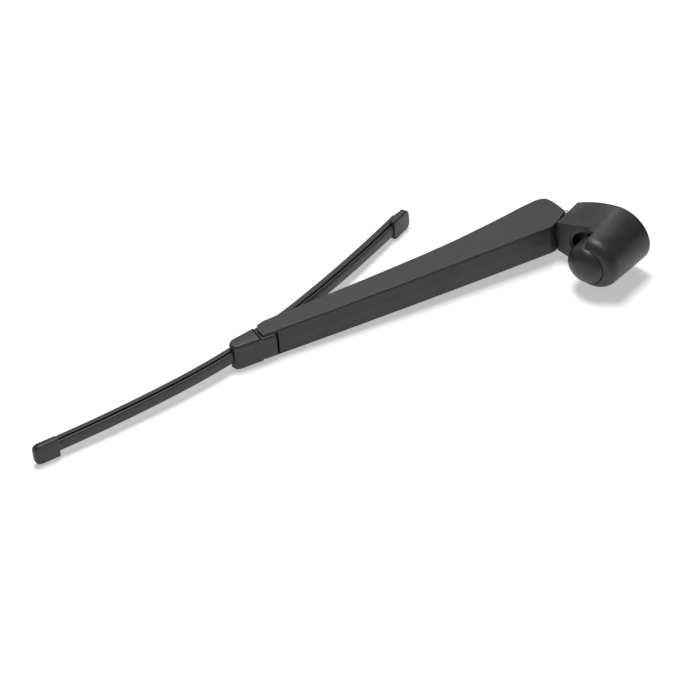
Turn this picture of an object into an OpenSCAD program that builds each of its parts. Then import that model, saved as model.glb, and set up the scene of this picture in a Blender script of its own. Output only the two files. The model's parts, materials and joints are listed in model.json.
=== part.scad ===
// Rear window wiper arm with a flat beam blade, arm lifted into its service position.
// The origin is on the spindle axis, in the plane of the head's open rim.
// +Z runs along the hinge pin, -Y points away from the car body, -X points along the parked arm.

/* [Head] */
// Radius of the barrel at its open rim
rim_r = 23.2; // [22:0.1:25]
// Radius of the barrel where its end starts to round over
shoulder_r = 20.8; // [20:0.1:22]
// Height of the barrel's shoulder above the rim
shoulder_h = 42; // [39:0.5:46]
// Radius of the shoulder's rounding
shoulder_round = 7; // [4:0.5:8]
// Height of the neck's flat deck above the rim
deck_h = 26.7; // [25:0.1:29]
// Distance from the spindle axis to the neck's end face
neck_end = 37; // [35:0.5:40]
// Half width of the neck at its end face
neck_half_w = 12.3; // [11.8:0.1:13]
// Half width of the deck beside the cap
deck_half_w = 17.4; // [16.5:0.1:19]
// Thickness of the head's walls
head_wall = 2.6; // [2:0.1:3]
// Radius of the finger notch beside the cap
notch_r = 20.5; // [19:0.1:22]
// Height of the notch's floor above the rim
notch_floor = 17; // [15:0.5:20]
// Distance from the spindle axis at which the tall shoulder is cut off
shoulder_cut = 3; // [1:0.5:5]
// Thickness of the head's inner ribs
rib_t = 1.8; // [1.4:0.1:2.4]

/* [Hub] */
// Width across the flats of the hub insert
hub_flats = 16; // [15:0.5:17]
// Radius of the bore that seats on the spindle
spindle_r = 5; // [4:0.1:5.5]
// Depth of that bore
spindle_seat = 12; // [10:0.5:14]
// Radius of the hole for the spindle's thread
thread_r = 4.2; // [3:0.1:4.5]
// Height of the hub insert
hub_h = 20; // [18:0.5:21]

/* [Nut cap] */
// Outer radius of the nut cap
cap_r = 13; // [12.7:0.1:13.6]
// Thickness of the nut cap's wall
cap_wall = 1.2; // [1:0.1:1.5]
// Height of the cap's lower edge above the rim
cap_foot = 24; // [22:0.5:27]
// Height above the rim at which the cap's dome starts
cap_dome_start = 43; // [41:0.5:46]
// Rise of the cap's dome
cap_dome = 9; // [6:0.5:11]

/* [Hinge] */
// Angle of the arm above its parked position
lift = 64; // [60:1:66]
// Distance of the hinge pin from the spindle axis
pin_x = 45; // [44:0.5:47]
// Height of the hinge pin above the rim
pin_y = 15; // [14:0.5:16]
// Radius of the hinge pin
pin_r = 3; // [2.5:0.1:3.4]
// Outer radius of the head's knuckle round the hinge pin
knuckle_r = 11.2; // [10.5:0.1:11.4]
// Distance of each hinge lug's inner face from the middle plane
lug_in = 4.6; // [4.2:0.1:5]
// Wall thickness of the hinge bushes
bush_wall = 1.2; // [0.8:0.1:1.6]

/* [Arm] */
// Distance from the hinge pin to the ends of the tip's ears
arm_len = 235.6; // [225:1:245]
// Length of the tip's ears beyond the end of the arm's outer wall
ear_len = 10.8; // [9:0.1:18]
// Height of the outer face over the hinge pin at the hinge end
outer_hinge = 14.4; // [14:0.1:15.5]
// Height of the outer face over the hinge pin at the tip
outer_tip = 7.3; // [6.5:0.1:8.5]
// Outward bow of the outer face
outer_bow = 0.9; // [0:0.1:2]
// Half width of the arm at the hinge end
arm_half_hinge = 12; // [11.6:0.1:12.8]
// Half width of the arm at the tip
arm_half_tip = 11.1; // [10.8:0.1:11.6]
// Half width of the channel inside the arm
channel_half = 9.45; // [9.2:0.05:9.6]
// Thickness of the arm's outer wall
arm_wall = 2.4; // [1.8:0.1:2.8]
// Rounding of the arm's long edges
arm_round = 1.5; // [0.8:0.1:2.2]
// Number of cross ribs inside the arm
arm_ribs = 6; // [3:1:9]
// Distance from the hinge pin to the first of them
rib_start = 112; // [105:1:125]
// Distance from the last of them to the end of the outer wall
rib_margin = 12; // [8:0.5:20]
// Depth of these ribs
rib_deep = 2; // [1:0.1:3]

/* [Spring] */
// Place of the spring's pin on the head, along the parked arm from the hinge pin
anchor_x = -4.5; // [-5:0.1:-4]
// Place of the spring's pin on the head, outward from the hinge pin
anchor_y = -6.5; // [-7:0.1:-6]
// Radius of the two spring pins
anchor_r = 1.6; // [1.2:0.1:1.8]
// Distance of the arm's spring pin from the hinge pin
spring_far = 95; // [85:1:110]
// Length of the hook that joins the spring to the head
hook_len = 28; // [26:0.5:32]
// Outer radius of the spring's coil
coil_r = 5; // [4:0.1:5.5]
// Thickness of the spring's wire
wire_d = 1.5; // [1:0.1:1.8]
// Number of turns in the spring
coil_turns = 22; // [14:1:28]

/* [Blade] */
// Half length of the blade along its back
blade_half = 172; // [160:1:190]
// Radius of the blade's curve near its middle
mid_curve = 470; // [400:10:600]
// Radius of the blade's curve towards its ends
end_curve = 1600; // [1200:50:2400]
// Distance from the middle at which the curve flattens
mid_half = 60; // [50:1:80]
// Half width of the blade's spoiler
spoiler_half = 5; // [4.8:0.05:5.2]
// Width of each steel strip
strip_w = 3.25; // [3:0.05:3.4]
// Thickness of each steel strip
strip_t = 0.8; // [0.6:0.05:0.9]
// Depth of the wiping lip's edge below the blade's back
lip_depth = 10.4; // [9.4:0.1:11.4]
// Half thickness of the wiping lip
lip_half = 0.4; // [0.3:0.05:0.5]
// Length of each end cap
end_cap_len = 19; // [15:0.5:22]
// Half width of each end cap
end_cap_half = 7.3; // [6.8:0.1:8]

/* [Blade joint] */
// Distance of the blade's pivot from the ends of the tip's ears
pivot_from_tip = 6.6; // [5.6:0.1:7.6]
// Height of the blade's pivot over the line of the hinge pin
pivot_y = 1.5; // [1:0.1:2]
// Radius of the pivot pin
pivot_r = 2.5; // [2:0.1:2.8]
// Angle between the blade's middle and the arm
blade_swing = 13.6; // [12:0.2:15]
// Distance from the pivot to the blade's middle, along the arm
blade_x = 18; // [16:0.5:20]
// Place of the blade's back below the pivot, at its middle
blade_y = -0.15; // [-0.6:0.05:0.3]
// Half width of the adapter's cover
adapter_half = 9.2; // [8.8:0.05:9.25]
// Distance from the pivot to the adapter's nose
nose_x = 29.5; // [27:0.5:33]
// Rounding of the adapter's edges
adapter_round = 1.6; // [0.8:0.1:2.2]

/* [Hidden] */
$fn = 64;
eps = 0.01;
// Gap of a pressed or moulded-in seat, of a running pin and of a part that slides off
seat_gap = 0.02;
run_gap = 0.05;
slide_gap = 0.3;
head_color = "#26272a";
rubber_color = "#1a1b1c";
steel_color = "#9a9c9f";

// Frames: the head's own frame has x towards the parked arm, y outward from the car and z up
module place_head() rotate([0, 0, 180]) children();
module place_arm() place_head() translate([pin_x, pin_y, 0]) rotate([0, 0, lift]) children();
module place_pivot() place_arm() translate([pivot_x, pivot_y, 0]) children();
module place_blade() place_pivot() translate([blade_x, blade_y, 0]) rotate([0, 0, blade_swing]) children();

// A profile drawn in x and y, given a width along z, centred on the middle plane
module slab(half_w) translate([0, 0, -half_w]) linear_extrude(2 * half_w) children();
// The same between two heights above the middle plane
module band(z0, z1) translate([0, 0, z0]) linear_extrude(z1 - z0) children();
// A disc or ring round z between two heights
module disc(r, z0, z1) translate([0, 0, z0]) cylinder(r = r, h = z1 - z0);
// Turns a shape built along z so that it stands along the spindle axis, y
module along_spindle() rotate([-90, 0, 0]) children();

// A slab with rounded long edges, from a convex profile
module soft_slab(half_w, r) {
    hull() {
        slab(half_w - r) children();
        slab(half_w - 0.3 * r) offset(delta = -0.3 * r) children();
        slab(half_w) offset(delta = -r) children();
    }
}

// Head

function barrel_r(y) = rim_r + (shoulder_r - rim_r) * y / (shoulder_h - shoulder_round);
// Slope of the flat upper and lower sides towards the cap
side_lean = (rim_r - 0.8 - deck_half_w) / deck_h;
function side_half(y) = rim_r - 0.8 - side_lean * y;
collar_r = cap_r - cap_wall - slide_gap / 2;
collar_wall = 1.4;
collar_top = 38;
cap_bore = cap_r + slide_gap;
cap_top = cap_dome_start + cap_dome;
hub_foot = 0;
hub_top = hub_foot + hub_h;
shoulder_ring_r = shoulder_r - shoulder_round;

// Half section of the barrel, x is the radius and y the height above the rim
module barrel_section() {
    arc = [for (a = [0:10:90]) [shoulder_ring_r + shoulder_round * cos(a),
                                shoulder_h - shoulder_round + shoulder_round * sin(a)]];
    polygon(concat([[0, 0], [rim_r, 0]], arc, [[0, shoulder_h]]));
}

module barrel_solid() {
    intersection() {
        along_spindle() rotate_extrude() barrel_section();
        // the flat, leaning sides
        rotate([0, 90, 0]) translate([0, 0, -rim_r - 1]) linear_extrude(2 * rim_r + 2)
            polygon([[-side_half(-1), -1], [side_half(-1), -1],
                     [side_half(shoulder_h + 1), shoulder_h + 1],
                     [-side_half(shoulder_h + 1), shoulder_h + 1]]);
    }
}

// Neck and lower barrel as one shape, inset by a wall
module neck_form(inset, y0, y1) {
    hull() {
        translate([0, y0, 0]) along_spindle() cylinder(r = barrel_r(max(y0, 0)) - inset, h = 0.5, $fn = 32);
        translate([0, y0, 0]) translate([neck_end - inset - 1, 0, -neck_half_w + inset])
            cube([1, y1 - y0, 2 * (neck_half_w - inset)]);
        translate([-2, y1 - 0.5, -deck_half_w + inset]) cube([4, 0.5, 2 * (deck_half_w - inset)]);
    }
}

// Outline of the notch in x and z, between the shoulder and the neck
module notch_outline(grow) {
    side = deck_half_w - rib_t;
    end = neck_half_w - rib_t;
    intersection() {
        circle(r = notch_r + grow);
        polygon([[shoulder_cut, -side - grow], [neck_end, -end - grow],
                 [neck_end, end + grow], [shoulder_cut, side + grow]]);
    }
}

// Stands an outline drawn in x and z up between two heights
module upright(y0, y1) translate([0, y0, 0]) rotate([-90, 0, 0]) linear_extrude(y1 - y0) children();

module knuckle() {
    translate([pin_x, pin_y, 0]) {
        for (side = [0, 1]) mirror([0, 0, side]) {
            disc(knuckle_r, lug_in, lug_half_out);
            translate([neck_end - pin_x - 1, -knuckle_r + 1, lug_in])
                cube([pin_x - neck_end + 1, 2 * knuckle_r - 2, lug_half_out - lug_in]);
        }
        // skin over the outward side, clear of the hook's travel
        slab(lug_in + eps) intersection() {
            difference() {
                circle(r = knuckle_r);
                circle(r = knuckle_r - 2);
            }
            polygon([[0, 0], [3.4, 20], [-20, 20], [-20, 15]]);
        }
    }
}

// Outer faces of the lugs leave room for the washers inside the arm's channel
washer_t = 0.6;
washer_gap = 0.1;
washer_r = pin_r + 3.4;
lug_half_out = channel_half - washer_t - 2 * washer_gap;

module ribs() {
    for (a = [60:60:300])
        rotate([0, -a, 0]) translate([hub_flats / 2, 4, -rib_t / 2]) cube([rim_r - 10, deck_h - 5, rib_t]);
    for (side = [-1, 1])
        translate([cap_r, 4, side * 6 - rib_t / 2]) cube([neck_end - cap_r - 1, deck_h - 5, rib_t]);
}

module drive_head() {
    color(head_color) place_head() difference() {
        union() {
            difference() {
                union() {
                    neck_form(0, 0, deck_h);
                    barrel_solid();
                }
                neck_form(head_wall, -1, deck_h - head_wall);
                // the tall shoulder stands only on the side away from the arm
                translate([shoulder_cut, deck_h, -30]) cube([60, 60, 60]);
            }
            // walls of the notch
            intersection() {
                upright(notch_floor - rib_t, deck_h) notch_outline(rib_t);
                neck_form(0.5, 0, deck_h);
            }
            // boss round the hub insert and collar under the cap
            along_spindle() translate([0, 0, hub_foot]) cylinder(r = collar_r, h = collar_top - hub_foot);
            intersection() {
                ribs();
                neck_form(1, 0, deck_h);
            }
            knuckle();
        }
        upright(notch_floor, shoulder_h + 1) difference() {
            notch_outline(0);
            circle(r = collar_r);
        }
        // room under the cap's dome
        upright(cap_dome_start - slide_gap, cap_top) circle(r = cap_bore);
        // ring for the cap's skirt
        upright(cap_foot - 1, shoulder_h + 1) difference() {
            circle(r = cap_bore);
            circle(r = collar_r);
        }
        along_spindle() translate([0, 0, hub_top]) cylinder(r = collar_r - collar_wall, h = 60);
        along_spindle() translate([0, 0, -1]) cylinder(r = hub_hex_r + seat_gap, h = hub_top + 2, $fn = 6);
        translate([pin_x, pin_y, 0]) {
            disc(pin_r + bush_wall + seat_gap, -20, 20);
            translate([anchor_x, anchor_y, 0]) disc(anchor_r + seat_gap, -20, 20);
        }
    }
}

// Hub insert: hexagon outside, stepped bore inside
hub_hex_r = hub_flats / 2 / cos(30);
module hub_insert() {
    color(steel_color) place_head() along_spindle() difference() {
        translate([0, 0, hub_foot]) cylinder(r = hub_hex_r, h = hub_h, $fn = 6);
        translate([0, 0, hub_foot - 1]) cylinder(r = spindle_r, h = spindle_seat + 1);
        translate([0, 0, hub_foot]) cylinder(r = thread_r, h = hub_h + 1);
    }
}

// Nut cap: a skirt closed by a low dome
module nut_cap() {
    dome_out = [for (a = [0:10:90]) [cap_r * cos(a), cap_dome_start + cap_dome * sin(a)]];
    dome_in = [for (a = [90:-10:0]) [(cap_r - cap_wall) * cos(a),
                                     cap_dome_start + (cap_dome - cap_wall) * sin(a)]];
    color(head_color) place_head() along_spindle() rotate_extrude()
        polygon(concat([[cap_r, cap_foot]], dome_out, dome_in, [[cap_r - cap_wall, cap_foot]]));
}

// Hinge pieces, along z

module head_spring_pin() color(steel_color) place_head()
    translate([pin_x + anchor_x, pin_y + anchor_y, 0]) disc(anchor_r, -lug_half_out, lug_half_out);

module hinge_bush(side) color("#c9c5b8") place_head() translate([pin_x, pin_y, 0]) mirror([0, 0, side])
    difference() {
        disc(pin_r + bush_wall, lug_in, lug_half_out);
        disc(pin_r + run_gap, lug_in - 1, lug_half_out + 1);
    }

module hinge_washer(side) color("#d8d5cb") place_head() translate([pin_x, pin_y, 0]) mirror([0, 0, side])
    difference() {
        disc(washer_r, lug_half_out + washer_gap, lug_half_out + washer_gap + washer_t);
        disc(pin_r + run_gap, lug_half_out, lug_half_out + 1);
    }

pin_half = channel_half + 1.6;
module hinge_pin() color(steel_color) place_arm() disc(pin_r, -pin_half, pin_half);

// Arm, in its own frame: x from the hinge pin to the tip, y outward, z along the pins

heel_x = -5.1;
outer_start = 12.7;
arm_face_end = arm_len - ear_len;
pivot_x = arm_len - pivot_from_tip;
function outer_y(x) = let (u = (x - outer_start) / (arm_len - outer_start))
    outer_hinge + (outer_tip - outer_hinge) * u + 4 * outer_bow * u * (1 - u);
function arm_half(x) = arm_half_hinge + (arm_half_tip - arm_half_hinge) * x / arm_len;

// Side view of the arm's wall: heel, open edge and chamfered ends
module arm_profile() {
    polygon([[heel_x, 3.4], [heel_x + 0.6, -2], [-3.3, -9.5], [-1.2, -15.2], [1.6, -17.3], [6, -18.1],
             [18, -17.2], [35, -14.8], [53, -12.7], [76, -10.4], [103, -8.9], [150, -7.8],
             [arm_len - 21, -7], [arm_len - 7, -6.8], [arm_len - 1.2, -5.1], [arm_len + 0.8, -1], [arm_len, outer_tip + 2],
             [outer_start, outer_hinge + 2], [outer_start, outer_hinge - 0.4], [7.8, 12], [-3.2, 5.2]]);
}

// Cross section of the outer form at a station: points from the lower side over the outer face
function edge_arc(cy, cz, r, a0, a1, n) =
    [for (i = [0:n]) let (a = a0 + (a1 - a0) * i / n) [cy + r * cos(a), cz + r * sin(a)]];
function arm_ring(x) = let (h = arm_half(x), y = outer_y(x), r = arm_round, c = 0.35)
    concat([[-30, -h]], edge_arc(y - r - c, -h + r, r, -90, 0, 4), [[y, 0]],
           edge_arc(y - r - c, h - r, r, 0, 90, 4), [[-30, h]]);
module arm_form() {
    stations = [-12, 60, 120, 180, arm_len + 4];
    hull() for (x = stations)
        translate([x, 0, 0]) rotate([90, 0, 90]) linear_extrude(eps) polygon(arm_ring(x));
}

// Space inside the channel, seen from the side, with its shallow cross ribs left standing;
// beyond the end of the outer wall it is open outward too, so that two ears remain
module channel_profile() {
    difference() {
        polygon(concat([[-20, -40], [-20, outer_hinge - arm_wall]],
                       [for (x = [outer_start:30:arm_face_end]) [x, outer_y(x) - arm_wall]],
                       [[arm_face_end, outer_y(arm_face_end) - arm_wall], [arm_face_end, 40],
                        [arm_len + 10, 40], [arm_len + 10, -40]]));
        for (i = [0:arm_ribs - 1]) {
            x = rib_start + i * (arm_face_end - rib_margin - rib_start) / (arm_ribs - 1);
            translate([x, outer_y(x) - arm_wall - rib_deep]) square([1.4, rib_deep + 1]);
        }
    }
}

module arm_shell() {
    color(head_color) place_arm() difference() {
        union() {
            intersection() {
                arm_form();
                difference() {
                    slab(15) arm_profile();
                    slab(channel_half) channel_profile();
                }
            }
            // bosses that hold the spring's pin
            for (side = [0, 1]) mirror([0, 0, side]) translate([spring_far, 0, 0])
                disc(anchor_r + 2, channel_half - 2.5, channel_half + 0.5);
        }
        disc(pin_r + seat_gap, -pin_half - seat_gap, pin_half + seat_gap);
        translate([spring_far, 0, 0]) disc(anchor_r + seat_gap, -channel_half - 0.6, channel_half + 0.6);
        translate([pivot_x, pivot_y, 0])
            disc(pivot_r + seat_gap, -pivot_half - seat_gap, pivot_half + seat_gap);
    }
}

module arm_spring_pin() color(steel_color) place_arm()
    translate([spring_far, 0, 0]) disc(anchor_r, -channel_half - 0.5, channel_half + 0.5);

pivot_half = channel_half + 0.8;
module pivot_pin() color(steel_color) place_pivot() disc(pivot_r, -pivot_half, pivot_half);

// Spring and hook lie on the line from the head's spring pin to the arm's spring pin
anchor_in_arm = [anchor_x * cos(lift) + anchor_y * sin(lift), -anchor_x * sin(lift) + anchor_y * cos(lift)];
spring_line = [spring_far, 0] - anchor_in_arm;
spring_dir = atan2(spring_line[1], spring_line[0]);
spring_span = norm(spring_line);
module place_hook()
    place_arm() translate([anchor_in_arm[0], anchor_in_arm[1], 0]) rotate([0, 0, spring_dir]) children();

hook_half = 2;
hook_w = 3;
eye_r = anchor_r + 1.5;
hook_bend = 6.6;
bend_x = 7.9;
bend_y = -0.6;
// The hook bends in a C round the hinge pin
module spring_hook() {
    color("#6d6f73") place_hook() difference() {
        union() {
            disc(eye_r, -hook_half, hook_half);
            difference() {
                translate([bend_x, bend_y, 0]) disc(hook_bend + hook_w / 2, -hook_half, hook_half);
                translate([bend_x, bend_y, 0]) disc(hook_bend - hook_w / 2, -hook_half - 1, hook_half + 1);
                translate([-20, bend_y, -10]) cube([60, 30, 20]);
            }
            translate([bend_x + hook_bend - hook_w / 2, bend_y - hook_w / 2, -hook_half])
                cube([hook_len - bend_x - hook_bend + hook_w / 2, hook_w, 2 * hook_half]);
            translate([hook_len, 0, 0]) disc(eye_r, -hook_half, hook_half);
        }
        disc(anchor_r + run_gap, -10, 10);
        translate([hook_len, 0, 0]) disc(anchor_r, -10, 10);
    }
}

// Joins rings of equal length into one closed solid
module loft(rings) {
    n = len(rings[0]);
    m = len(rings);
    points = [for (ring = rings) each ring];
    sides = [for (i = [0:m - 2], j = [0:n - 1]) each
        [[i * n + j, i * n + (j + 1) % n, (i + 1) * n + j],
         [i * n + (j + 1) % n, (i + 1) * n + (j + 1) % n, (i + 1) * n + j]]];
    ends = [[for (j = [n - 1:-1:0]) j], [for (j = [0:n - 1]) (m - 1) * n + j]];
    polyhedron(points, concat(sides, ends));
}

// Tension spring: a close coil, a loop through the hook's eye and a loop round the arm's pin
wire_r = wire_d / 2;
coil_mean_r = coil_r - wire_r;
end_loop_r = 4;
pin_loop_r = anchor_r + wire_r + 0.1;
module tension_spring() {
    start = hook_len + 2 * end_loop_r;
    end = spring_span - pin_loop_r - 2;
    steps = 10 * coil_turns;
    rings = [for (i = [0:steps])
        let (a = 360 * coil_turns * i / steps, x = start + (end - start) * i / steps)
        [for (b = [288:-72:0]) let (r = coil_mean_r + wire_r * sin(b))
            [x + wire_r * cos(b), r * cos(a), r * sin(a)]]];
    leg_r = wire_r - 0.05;
    color(steel_color) place_hook() {
        loft(rings);
        translate([hook_len + end_loop_r, 0, 0]) rotate([90, 0, 0]) wire_ring(end_loop_r);
        translate([start, 0, 0]) rotate([-90, 0, 0]) cylinder(r = leg_r, h = coil_mean_r, $fn = 16);
        translate([spring_span, 0, 0]) wire_ring(pin_loop_r);
        translate([end, 0, 0]) rotate([0, 90, 0])
            cylinder(r = leg_r, h = spring_span - pin_loop_r - end, $fn = 16);
        translate([end, 0, 0]) rotate([-90, 0, 0]) cylinder(r = leg_r, h = coil_mean_r, $fn = 16);
    }
}

module wire_ring(r) rotate_extrude($fn = 32) translate([r, 0]) circle(r = wire_r - 0.05, $fn = 16);

// Blade, in its own frame: x along the back at the middle, y outward, z across

function deg(radians) = radians * 180 / PI;
mid_angle = deg(mid_half / mid_curve);
mid_point = [mid_curve * sin(mid_angle), -mid_curve * (1 - cos(mid_angle))];
end_centre = mid_point - end_curve * [sin(mid_angle), cos(mid_angle)];
// Angle of the back at a distance from the middle, and the point there
function back_angle(t) = t < mid_half ? deg(t / mid_curve) : mid_angle + deg((t - mid_half) / end_curve);
function back_point(t) = t < mid_half
    ? [mid_curve * sin(back_angle(t)), -mid_curve * (1 - cos(back_angle(t)))]
    : end_centre + end_curve * [sin(back_angle(t)), cos(back_angle(t))];

module arc_sweep(radius, centre, a0, a1)
    translate([centre[0], centre[1], 0]) rotate([0, 0, 90 - a1])
        rotate_extrude(angle = a1 - a0, $fn = 720) translate([radius, 0]) children();

// Sweeps a section along the blade's middle arc, the far side being negative;
// in the section x is outward and y is across
module mid_sweep(t0, t1)
    arc_sweep(mid_curve, [0, -mid_curve], deg(t0 / mid_curve), deg(t1 / mid_curve)) children();

// A ring of section points at a distance along the blade, and a solid through such rings
function section_ring(section, t) =
    let (u = abs(t), side = t < 0 ? -1 : 1, p = back_point(u), turn = back_angle(u))
    [for (q = section) [side * (p[0] + q[0] * sin(turn)), p[1] + q[0] * cos(turn), q[1]]];
module long_sweep(section, t0, t1) {
    step = 12;
    inner = [for (t = [ceil(t0 / step + 0.2):floor(t1 / step - 0.2)]) t * step];
    loft([for (t = concat([t0], inner, [t1])) section_ring(section, t)]);
}

// A closed outline from the half on the positive side, which starts and ends off the middle plane
function both_sides(half) = concat(half, [for (i = [len(half) - 1:-1:0]) [half[i][0], -half[i][1]]]);

module at_back(t)
    translate([back_point(t)[0], back_point(t)[1], 0]) rotate([0, 0, -back_angle(t)]) children();

// Depth of the strips below the back, distance of each from the middle plane, and the slot for both
strip_d = 1.9;
strip_in = 1.2;
lip_d0 = strip_d + strip_t + 0.05;
strip_out = strip_in + strip_w + 0.05;
// The strips and the rubber end inside the end caps
strip_margin = 5;
rubber_margin = 4;

// Spoiler: low crown, side walls and a groove along each side that grips the strip's edge
spoiler_section = both_sides([[0.12, 0.6], [0, 1.8], [-0.25, 4], [-0.9, spoiler_half],
    [-lip_d0 - 0.45, spoiler_half], [-lip_d0 - 0.45, 3.45], [-lip_d0, 3.45], [-lip_d0, strip_out],
    [0.05 - strip_d, strip_out], [0.05 - strip_d, 2.9], [-1, 2.9], [-1, 0.6]]);

// Rubber: a head between the strips, a wing under them, a neck and the wiping lip
rubber_wing_d = lip_d0 + 0.5;
rubber_neck_d = rubber_wing_d + 0.7;
rubber_wedge_d = rubber_neck_d + 1;
rubber_section = both_sides([[-1.1, 2.6], [0.03 - strip_d, 2.6], [0.03 - strip_d, strip_in - 0.05],
    [0.02 - lip_d0, strip_in - 0.05], [0.02 - lip_d0, 3.2], [-rubber_wing_d, 3.2], [-rubber_wing_d, 4.3],
    [-rubber_neck_d, 4.3], [-rubber_neck_d, 0.8], [-rubber_wedge_d, 0.8], [-rubber_wedge_d, 3],
    [-rubber_wedge_d - 0.6, 3], [1.5 - lip_depth, lip_half + 0.25], [1.2 - lip_depth, lip_half],
    [-lip_depth, lip_half]]);

// The two spoilers run from the bracket's ends to the end caps
bracket_near = 5;
bracket_far = 26;
bracket_gap = 0.4;
spoiler_end = blade_half - end_cap_len - slide_gap;

module spoiler_near() color(head_color) place_blade()
    long_sweep(spoiler_section, bracket_near + bracket_gap, spoiler_end);
module spoiler_far() color(head_color) place_blade()
    long_sweep(spoiler_section, -spoiler_end, -bracket_far - bracket_gap);

module wiper_rubber() color(rubber_color) place_blade()
    long_sweep(rubber_section, rubber_margin - blade_half, blade_half - rubber_margin);

module steel_strip(side) {
    z0 = side > 0 ? strip_in : -strip_in - strip_w;
    color(steel_color) place_blade() long_sweep([[-strip_d - strip_t, z0], [-strip_d, z0],
        [-strip_d, z0 + strip_w], [-strip_d - strip_t, z0 + strip_w]],
        strip_margin - blade_half, blade_half - strip_margin);
}

// End cap: a rounded box closed at the blade's end and open on the glass side
end_cap_deep = 8;
module end_cap() {
    at_back(blade_half - end_cap_len / 2) difference() {
        soft_slab(end_cap_half, 2.4) translate([-end_cap_len / 2, -end_cap_deep])
            square([end_cap_len, end_cap_deep + 0.3]);
        // pocket for the blade, open towards its middle
        translate([-end_cap_len, -end_cap_deep - 1, -spoiler_half - slide_gap])
            cube([end_cap_len * 1.5 - 3, end_cap_deep + 0.2, 2 * (spoiler_half + slide_gap)]);
    }
}
module end_cap_near() color(head_color) place_blade() end_cap();
module end_cap_far() color(head_color) place_blade() mirror([1, 0, 0]) end_cap();

// Bracket: clips over the strips and turns on the pivot pin
eye_wall = 1.7;
post_half = 4.2;
pivot_in_blade = [-blade_x * cos(blade_swing) - blade_y * sin(blade_swing),
                  blade_x * sin(blade_swing) - blade_y * cos(blade_swing)];
module clip_section() difference() {
    translate([-lip_d0 - 0.45, -spoiler_half - 0.9]) square([lip_d0 + 1.7, 2 * spoiler_half + 1.8]);
    translate([-lip_d0, -strip_out]) square([strip_t + 0.1, 2 * strip_out]);
    translate([-lip_d0 - 1, -3.45]) square([lip_d0 + 0.15, 6.9]);
}
module blade_bracket() {
    color("#303236") place_blade() difference() {
        union() {
            mid_sweep(-bracket_far, bracket_near) clip_section();
            translate([pivot_in_blade[0], pivot_in_blade[1], 0])
                disc(pivot_r + eye_wall, -spoiler_half, spoiler_half);
            translate([pivot_in_blade[0] - post_half, 0.2, -spoiler_half])
                cube([2 * post_half, pivot_in_blade[1] - 0.2, 2 * spoiler_half]);
        }
        translate([pivot_in_blade[0], pivot_in_blade[1], 0]) disc(pivot_r + run_gap, -20, 20);
    }
}

// Adapter cover: a tapering hood over the bracket, drawn along the arm from the pivot
module adapter_profile() {
    polygon([[-9, -11.4], [nose_x - 0.6, -1.6], [nose_x + 0.3, 0.6], [nose_x - 1.4, 3.9], [nose_x - 4, 5],
             [-2.2, 7.2]]);
}
module adapter_cover() {
    color(head_color) place_pivot() difference() {
        soft_slab(adapter_half, adapter_round) adapter_profile();
        // room for the bracket and the blade
        slab(spoiler_half + 0.9 + slide_gap) polygon([[-30, -24], [nose_x - 6, -16], [nose_x - 6, 3.2],
            [8, 5], [-0.8, 5.7], [-2, 4.6], [-30, 4.6]]);
        translate([blade_x, blade_y, 0]) rotate([0, 0, blade_swing])
            slab(spoiler_half + slide_gap) translate([0, -30]) square([60, 30.4]);
        disc(pivot_r + run_gap, -20, 20);
    }
}

drive_head();
hub_insert();
nut_cap();
head_spring_pin();
hinge_bush(0);  // hinge_bush_upper
hinge_bush(1);  // hinge_bush_lower
hinge_washer(0);  // hinge_washer_upper
hinge_washer(1);  // hinge_washer_lower
hinge_pin();
arm_shell();
arm_spring_pin();
tension_spring();
spring_hook();
pivot_pin();
blade_bracket();
adapter_cover();
steel_strip(1);  // steel_strip_upper
steel_strip(-1);  // steel_strip_lower
wiper_rubber();
spoiler_near();
spoiler_far();
end_cap_near();
end_cap_far();
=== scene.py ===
import json
import math

import bmesh
import bpy
from mathutils import Matrix, Vector

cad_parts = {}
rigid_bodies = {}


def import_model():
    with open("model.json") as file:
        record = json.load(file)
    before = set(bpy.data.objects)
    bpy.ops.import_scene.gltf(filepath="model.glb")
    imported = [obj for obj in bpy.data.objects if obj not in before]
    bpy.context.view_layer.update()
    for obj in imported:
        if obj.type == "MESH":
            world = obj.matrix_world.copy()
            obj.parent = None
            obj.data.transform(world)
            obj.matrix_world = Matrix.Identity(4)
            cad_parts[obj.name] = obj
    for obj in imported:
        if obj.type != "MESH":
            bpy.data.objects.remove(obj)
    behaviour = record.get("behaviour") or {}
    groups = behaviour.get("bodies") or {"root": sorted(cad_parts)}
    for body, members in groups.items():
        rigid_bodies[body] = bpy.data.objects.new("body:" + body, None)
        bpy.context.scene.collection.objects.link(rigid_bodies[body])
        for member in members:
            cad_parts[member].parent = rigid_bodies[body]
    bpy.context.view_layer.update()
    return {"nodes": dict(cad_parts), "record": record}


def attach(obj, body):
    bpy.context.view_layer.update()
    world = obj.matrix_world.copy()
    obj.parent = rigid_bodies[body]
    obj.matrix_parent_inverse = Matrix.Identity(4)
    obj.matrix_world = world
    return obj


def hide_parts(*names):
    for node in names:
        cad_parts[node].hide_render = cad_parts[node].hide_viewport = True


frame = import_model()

scene = bpy.context.scene
nodes = frame["nodes"]


# Small helpers

def link(obj):
    """Puts an object into the scene."""
    if obj.name not in scene.collection.objects:
        scene.collection.objects.link(obj)
    return obj


def plane(name, centre, normal, size):
    """A flat square with its middle, its normal and its side length."""
    n = Vector(normal).normalized()
    u = Vector((0, 1, 0)).cross(n).normalized()
    v = n.cross(u)
    h = size / 2
    c = Vector(centre)
    corners = [c - u * h - v * h, c + u * h - v * h, c + u * h + v * h, c - u * h + v * h]
    mesh = bpy.data.meshes.new(name)
    mesh.from_pydata(corners, [], [(0, 1, 2, 3)])
    return link(bpy.data.objects.new(name, mesh))


# Sockets of a colour mix node
MIX_FACTOR, MIX_A, MIX_B, MIX_RESULT = 0, 6, 7, 2


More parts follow.
